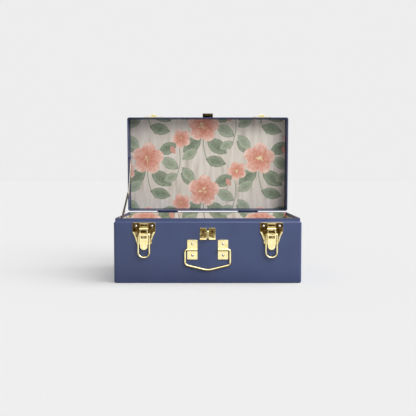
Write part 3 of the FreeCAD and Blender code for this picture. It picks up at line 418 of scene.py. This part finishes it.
def rounded_line(corners, bends, closed):
    """A line through corners, each rounded by an arc that turns from one side's foot to the other's."""
    corners = np.array(corners, float)
    turn = np.linspace(0, 1, arc_points)[:, None]
    runs = []
    for i, bend in enumerate(bends):
        if not bend:
            runs.append(corners[i:i + 1])
            continue
        sides = np.stack((corners[i - 1], corners[(i + 1) % len(corners)])) - corners[i]
        sides /= np.linalg.norm(sides, axis=1)[:, None]
        half = np.arccos(sides[0] @ sides[1]) / 2
        middle = corners[i] + (sides[0] + sides[1]) / (2 * np.cos(half)) * bend / np.sin(half)
        spokes = corners[i] + sides * bend / np.tan(half) - middle
        sweep = pi - 2 * half
        arc = np.sin((1 - turn) * sweep) * spokes[0] + np.sin(turn * sweep) * spokes[1]
        runs.append(middle + arc / np.sin(sweep))
    return np.concatenate(runs + runs[:1] if closed else runs)


def wire(name, node, line, y, radius, body):
    """A round wire: points of a line in X and Z, moved by radius cos a across it and radius sin a in Y."""
    closed = np.allclose(line[0], line[-1])
    way = np.gradient(line, axis=0)
    if closed:
        way[0] = way[-1] = line[1] - line[-2]
    way /= np.linalg.norm(way, axis=1)[:, None]
    around = np.linspace(0, 2 * pi, ring_points, endpoint=False)
    across = np.stack((-way[:, 1], way[:, 0]), axis=1)
    rings = np.empty((len(line), len(around), 3))
    rings[:, :, ::2] = line[:, None] + radius * np.cos(around)[None, :, None] * across[:, None]
    rings[:, :, 1] = y + radius * np.sin(around)
    first = np.arange(rings.shape[0] * rings.shape[1]).reshape(rings.shape[:2])
    if closed:
        first[-1] = first[0]
        rings = rings[:-1]
    nearby = np.roll(first, -1, axis=1)
    faces = np.stack((first[:-1], nearby[:-1], nearby[1:], first[1:]), axis=2).reshape(-1, 4).tolist()
    round_faces = len(faces)
    if not closed:
        faces += [first[0, ::-1].tolist(), first[-1].tolist()]
    mesh = bpy.data.meshes.new(name)
    mesh.from_pydata(rings.reshape(-1, 3) * mm, [], faces)
    mesh.polygons.foreach_set("use_smooth", np.arange(len(faces)) < round_faces)
    mesh.materials.append(wire_brass)
    piece = bpy.data.objects.new(name, mesh)
    scene.collection.objects.link(piece)
    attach(piece, body)
    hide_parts(node)
    return piece


def wire_limits(node):
    """A wire node's lowest and highest corners in millimetres, and its wire's radius."""
    low, high = (np.array(corner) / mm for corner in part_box(node))
    return low, high, (high[1] - low[1]) / 2


low, high, radius = wire_limits("handle_bail")
half = high[0] - radius
top = high[2] - radius
side = top - bail_side
tip = top - bail_length + radius
bail_corners = ((-bail_end, top), (-half, top), (-half, side), (0, tip), (half, side), (half, top),
                (bail_end, top))
bail_line = rounded_line(bail_corners, bail_bends, closed=False)
smooth_wires = [wire("bail_wire", "handle_bail", bail_line, (low[1] + high[1]) / 2, radius, "handle_bail")]

for side_name in ("left", "right"):
    node = "latch_loop_" + side_name
    low, high, radius = wire_limits(node)
    low[[0, 2]] += radius
    high[[0, 2]] -= radius
    end_bend = loop_end_share * (high[0] - low[0]) / 2
    loop_corners = ((low[0], high[2]), (high[0], high[2]), (high[0], low[2]), (low[0], low[2]))
    loop_line = rounded_line(loop_corners, (loop_corner, loop_corner, end_bend, end_bend), closed=True)
    loop_y = (low[1] + high[1]) / 2
    smooth_wires.append(wire("loop_wire_" + side_name, node, loop_line, loop_y, radius, node))
trunk_pieces = list(nodes.values()) + smooth_wires


# Camera

camera_tilt_down = 2.91
camera_data = bpy.data.cameras.new("camera")
camera_data.sensor_width = 36
camera_data.lens = 51.66
camera_data.clip_start = 0.01
camera = bpy.data.objects.new("camera", camera_data)
camera.location = (0.0005, -1.1385, 0.1855)
camera.rotation_euler = (radians(90 - camera_tilt_down), 0, 0)
scene.collection.objects.link(camera)
scene.camera = camera


# Studio. Lengths are metres.

floor_reach = 30
floor_glow_share = 0.28
fill_strength = 0.36
# Glow of the card that paints a bright reflection into the fittings.
reflection_glow_strength = 1.1
backdrop_white = "#ededed"


def card(name, low, high, material):
    """A flat stage piece between opposite corners: level where their heights agree, upright elsewhere."""
    if low[2] == high[2]:
        second, fourth = (high[0], low[1], low[2]), (low[0], high[1], low[2])
    else:
        second, fourth = (high[0], high[1], low[2]), (low[0], low[1], high[2])
    mesh = bpy.data.meshes.new(name)
    mesh.from_pydata([low, second, high, fourth], [], [(0, 1, 2, 3)])
    mesh.materials.append(material)
    piece = bpy.data.objects.new(name, mesh)
    scene.collection.objects.link(piece)
    return piece


def seen_rays(tree):
    """1 for a ray that comes from the camera, a reflection or a clear piece, and 0 for one that lights."""
    path = tree.nodes.new("ShaderNodeLightPath")
    seen = path.outputs["Is Camera Ray"]
    for ray in ("Is Glossy Ray", "Is Transmission Ray"):
        seen = add(tree, "ShaderNodeMath", {0: seen, 1: path.outputs[ray]}, operation="MAXIMUM")
    return seen


def reflection_glow(tree):
    """A glowing white card, no lamp, that only the fittings show: a painted bright reflection."""
    return {"Color": linear("#ffffff"), "Strength": reflection_glow_strength}


def dark_reflection_card(tree):
    """A dull brown card face that only polished metal shows: it paints dark reflections into the fittings.
    """
    return {"Base Color": linear("#967f57"), "Roughness": 0.9, "Specular IOR Level": 0.1}


def floor_paint(tree):
    """Pale matt paint that shows part of the backdrop's glow, and sends less light up than it shows."""
    seen = seen_rays(tree)
    paint = add(tree, "ShaderNodeMix", {0: seen, 6: linear("#cfcfcf"), 7: linear("#f0f0f0")}, out=2,
                data_type="RGBA")
    matt = add(tree, "ShaderNodeBsdfDiffuse", {"Color": paint})
    glow = add(tree, "ShaderNodeEmission", {"Color": linear(backdrop_white), "Strength": 1})
    share = add(tree, "ShaderNodeMath", {0: seen, 1: floor_glow_share}, operation="MULTIPLY")
    return add(tree, "ShaderNodeMixShader", {0: share, 1: matt, 2: glow})


card("floor", (-floor_reach, -floor_reach, 0), (floor_reach, floor_reach, 0),
     surface_named("pale_floor_paint", floor_paint))

# Cards that only the polished metal shows: the flags and the foot card paint dark reflections into it, and
# the reflector paints a bright one.
dark_card = finish_named("dark_reflection_card", dark_reflection_card)
glow_material = finish_named("reflection_glow", reflection_glow, "ShaderNodeEmission")
reflection_only_cards = {"front_flag": ((-0.8, -0.885, 0), (0.8, -0.885, 0.07), dark_card),
               "side_flag": ((-0.9, -1.2, 0), (-0.9, 0.1, 1.4), dark_card),
               # The foot card paints the shade under the trunk's front into the lower edges of the
               # fittings and wires.
               "foot_shade_card": ((-0.2, -0.165, 0.003), (0.2, -0.095, 0.003), dark_card),
               "painted_reflection_glow": ((-0.6, -0.88, 0.002), (0.6, -0.2, 0.002), glow_material)}
for name, (low, high, material) in reflection_only_cards.items():
    seen_in_metal = card(name, low, high, material)
    seen_in_metal.visible_camera = False
    seen_in_metal.visible_diffuse = False
    seen_in_metal.visible_shadow = False

world = bpy.data.worlds.new("studio")
scene.world = world
world.use_nodes = True
sky = world.node_tree
sky.nodes.clear()
backdrop = add(sky, "ShaderNodeBackground", {"Color": linear(backdrop_white), "Strength": 1})
fill = add(sky, "ShaderNodeBackground", {"Color": linear("#ffffff"), "Strength": fill_strength})
mixed = add(sky, "ShaderNodeMixShader", {0: seen_rays(sky), 1: fill, 2: backdrop})
add(sky, "ShaderNodeOutputWorld", {"Surface": mixed})


def lamp(name, kind, place, turn, lit_pieces=(), **settings):
    """A lamp at a place, turned by degrees, that lights everything or only the pieces it is given."""
    data = bpy.data.lights.new(name, kind)
    for key, value in settings.items():
        setattr(data, key, value)
    piece = bpy.data.objects.new(name, data)
    piece.location = place
    piece.rotation_euler = [radians(angle) for angle in turn]
    scene.collection.objects.link(piece)
    if lit_pieces:
        lit_by = bpy.data.collections.new("lit_by_" + name)
        for lit_piece in lit_pieces:
            lit_by.objects.link(lit_piece)
        piece.light_linking.receiver_collection = lit_by


lamp("key", "SUN", (0, 0, 0), (12, 38, 0), energy=2.6, angle=radians(72))
# A softbox at the right, for the trunk alone, so that the floor stays even.
lamp("softbox", "AREA", (0.45, -0.5, 0.6), (56, 0, 42), trunk_pieces, energy=3.6, size=0.4)
# A broad lamp above the camera, for the brass alone, which gives round metal its white lines.
brass_pieces = [piece for piece in trunk_pieces
                if piece.data.materials[0] in (brass, wire_brass, plate_brass)]
lamp("panel", "AREA", (0, -1.1, 1.1), (45, 0, 0), brass_pieces,
     shape="RECTANGLE", size=1.6, size_y=1.2, energy=10)
